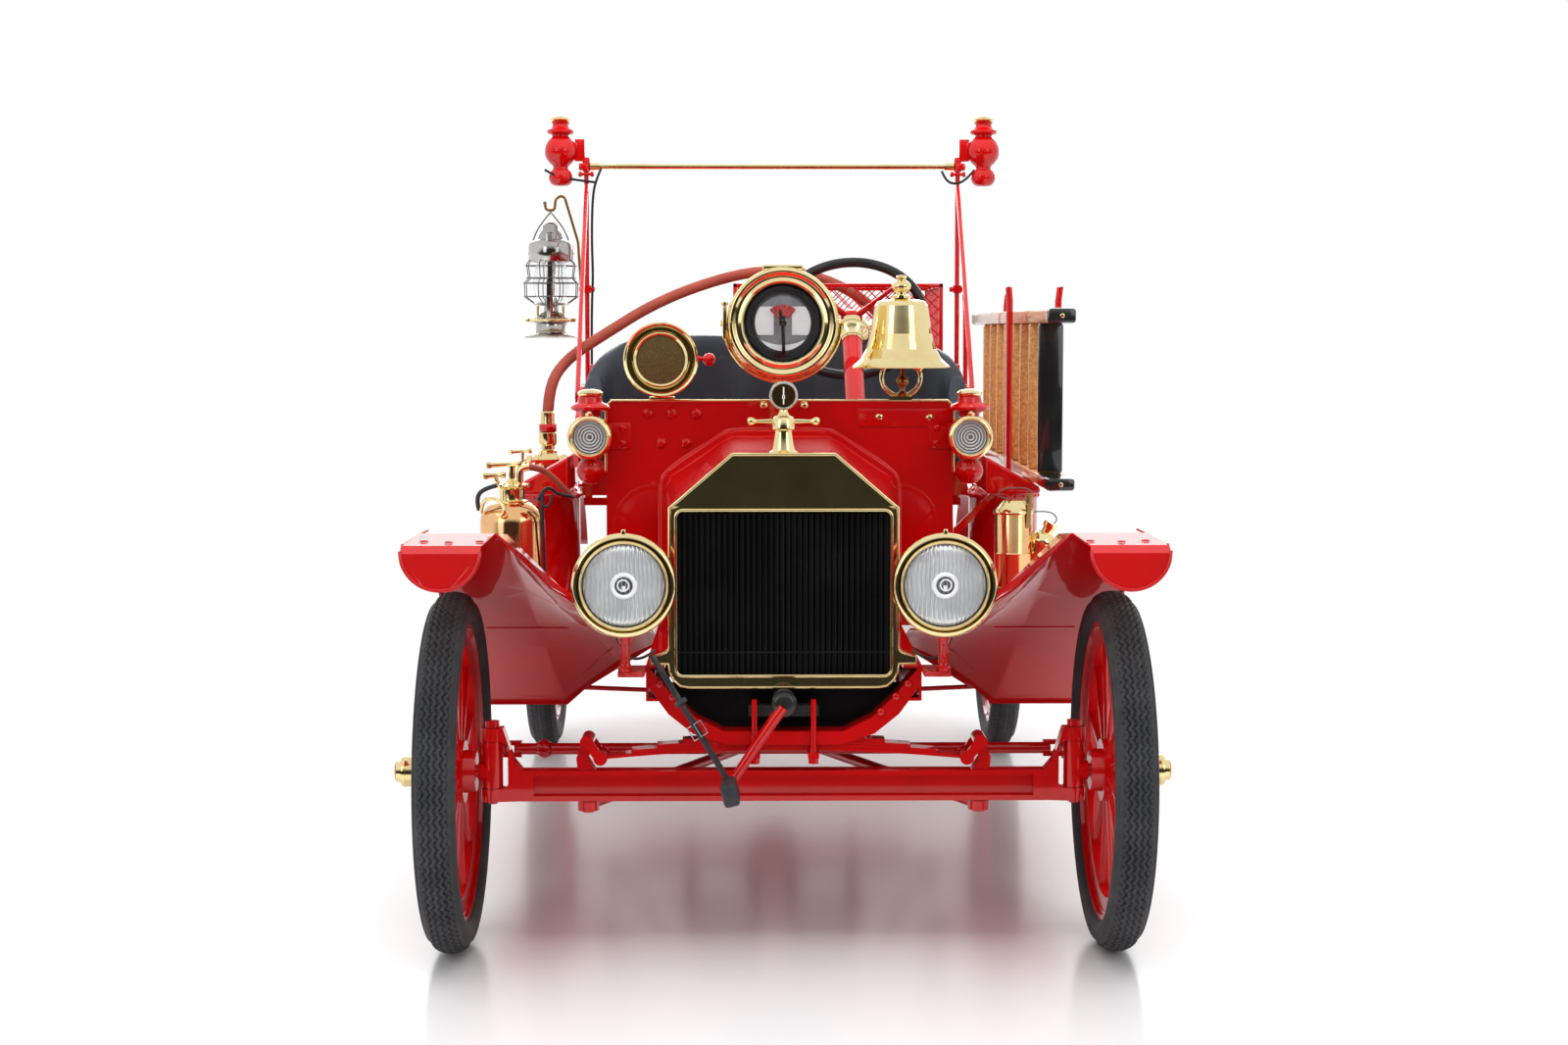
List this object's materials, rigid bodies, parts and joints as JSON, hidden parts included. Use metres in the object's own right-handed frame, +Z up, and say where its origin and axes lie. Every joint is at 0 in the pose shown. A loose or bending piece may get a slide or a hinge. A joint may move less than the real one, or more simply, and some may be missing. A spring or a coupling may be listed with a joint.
{
  "type": "light chemical fire engine",
  "caption": "Early open fire engine with brass radiator, bench seat, hose basket, side ladder, tanks, bell, horn and lamps; its spoked wheels roll and the front pair steers.",
  "frame": {"origin": "centre of the box's base on the ground, 1354.5 mm behind the front axle", "axes": "-Y is forward, +Z is up, +X is the vehicle's left side"},
  "size_m": [1.648, 3.471, 1.987],
  "materials": {
    "red_paint": "gloss",
    "brass": "polished",
    "dark_iron": "matt",
    "black_metal": "satin",
    "black_leather": "satin",
    "clear_glass": "clear",
    "black_rubber": "satin",
    "red_rubber": "matt",
    "tyre_rubber": "matt",
    "nickel": "polished",
    "copper": "polished",
    "varnished_wood": "gloss"
  },
  "bodies": {
    "chassis": {"chassis_frame": "red_paint", "front_axle": "red_paint", "front_spring": "red_paint", "rear_axle": "red_paint", "rear_spring": "red_paint", "engine_block": "dark_iron", "radiator_shell": "brass", "radiator_core": "black_metal", "radiator_cap": "brass", "hood": "red_paint", "firewall": "red_paint", "starting_crank": "red_paint", "crank_strap": "black_leather", "lamp_bodies": "red_paint", "lamp_rims": "brass", "lamp_lenses": "clear_glass", "searchlight": "brass", "horn": "brass", "bell": "brass", "front_fender_left": "red_paint", "front_fender_right": "red_paint", "running_boards": "red_paint", "rear_fenders": "red_paint", "floor_boards": "red_paint", "seat_box": "red_paint", "seat_cushion": "black_leather", "seat_back": "black_leather", "steering_column": "red_paint", "rear_bed": "red_paint", "rear_posts": "red_paint", "post_rail": "brass", "post_lamps": "red_paint", "lantern_arm": "brass", "hanging_lantern": "nickel", "hose_basket": "red_paint", "hose_coil": "red_rubber", "hose_run": "red_rubber", "ladder": "varnished_wood", "ladder_brackets": "red_paint", "chemical_tanks": "red_paint", "extinguisher": "copper", "brass_canisters": "copper"},
    "pitman": {"pitman_arm": "red_paint"},
    "steering_wheel": {"steering_wheel": "black_rubber"},
    "tie_rod": {"tie_rod": "red_paint"},
    "knuckle_left": {"knuckle_left": "red_paint"},
    "knuckle_right": {"knuckle_right": "red_paint"},
    "front_wheel_left": {"wheel_front_left": "red_paint", "tyre_front_left": "tyre_rubber"},
    "front_wheel_right": {"wheel_front_right": "red_paint", "tyre_front_right": "tyre_rubber"},
    "rear_wheel_left": {"wheel_rear_left": "red_paint", "tyre_rear_left": "tyre_rubber"},
    "rear_wheel_right": {"wheel_rear_right": "red_paint", "tyre_rear_right": "tyre_rubber"}
  },
  "joints": [
    {"name": "kingpin_right", "type": "hinge", "parent": "chassis", "child": "knuckle_right", "pos_m": [-0.617, -1.3545, 0.4], "axis": [0, 0, 1], "range_deg": [-30, 30]},
    {"name": "kingpin_left", "type": "hinge", "parent": "chassis", "child": "knuckle_left", "pos_m": [0.617, -1.3545, 0.4], "axis": [0, 0, 1], "range_deg": [-30, 30]},
    {"name": "tie_rod_pin_right", "type": "hinge", "parent": "knuckle_right", "child": "tie_rod", "pos_m": [-0.617, -1.2045, 0.403], "axis": [0, 0, 1], "range_deg": [-30, 30]},
    {"name": "drop_arm_shaft", "type": "hinge", "parent": "chassis", "child": "pitman", "pos_m": [0.19, -1.18061, 0.51736], "axis": [0, 0.7716, 0.6361], "range_deg": [-28, 28]},
    {"name": "steering_wheel_shaft", "type": "hinge", "parent": "chassis", "child": "steering_wheel", "pos_m": [0.19, -0.18367, 1.33917], "axis": [0, 0.7716, 0.6361], "range_deg": [-112, 112]},
    {"name": "front_wheel_left_spin", "type": "hinge", "parent": "knuckle_left", "child": "front_wheel_left", "pos_m": [0.7, -1.3545, 0.381], "axis": [1, 0, 0], "continuous": true},
    {"name": "front_wheel_right_spin", "type": "hinge", "parent": "knuckle_right", "child": "front_wheel_right", "pos_m": [-0.7, -1.3545, 0.381], "axis": [1, 0, 0], "continuous": true},
    {"name": "rear_wheel_left_spin", "type": "hinge", "parent": "chassis", "child": "rear_wheel_left", "pos_m": [0.7, 1.1855, 0.381], "axis": [1, 0, 0], "continuous": true},
    {"name": "rear_wheel_right_spin", "type": "hinge", "parent": "chassis", "child": "rear_wheel_right", "pos_m": [-0.7, 1.1855, 0.381], "axis": [1, 0, 0], "continuous": true}
  ],
  "couplings": [
    {"joint": "kingpin_left", "follows": "kingpin_right", "ratio": 1},
    {"joint": "tie_rod_pin_right", "follows": "kingpin_right", "ratio": -1},
    {"joint": "drop_arm_shaft", "follows": "kingpin_right", "ratio": 0.9091},
    {"joint": "steering_wheel_shaft", "follows": "kingpin_right", "ratio": 3.6364}
  ]
}
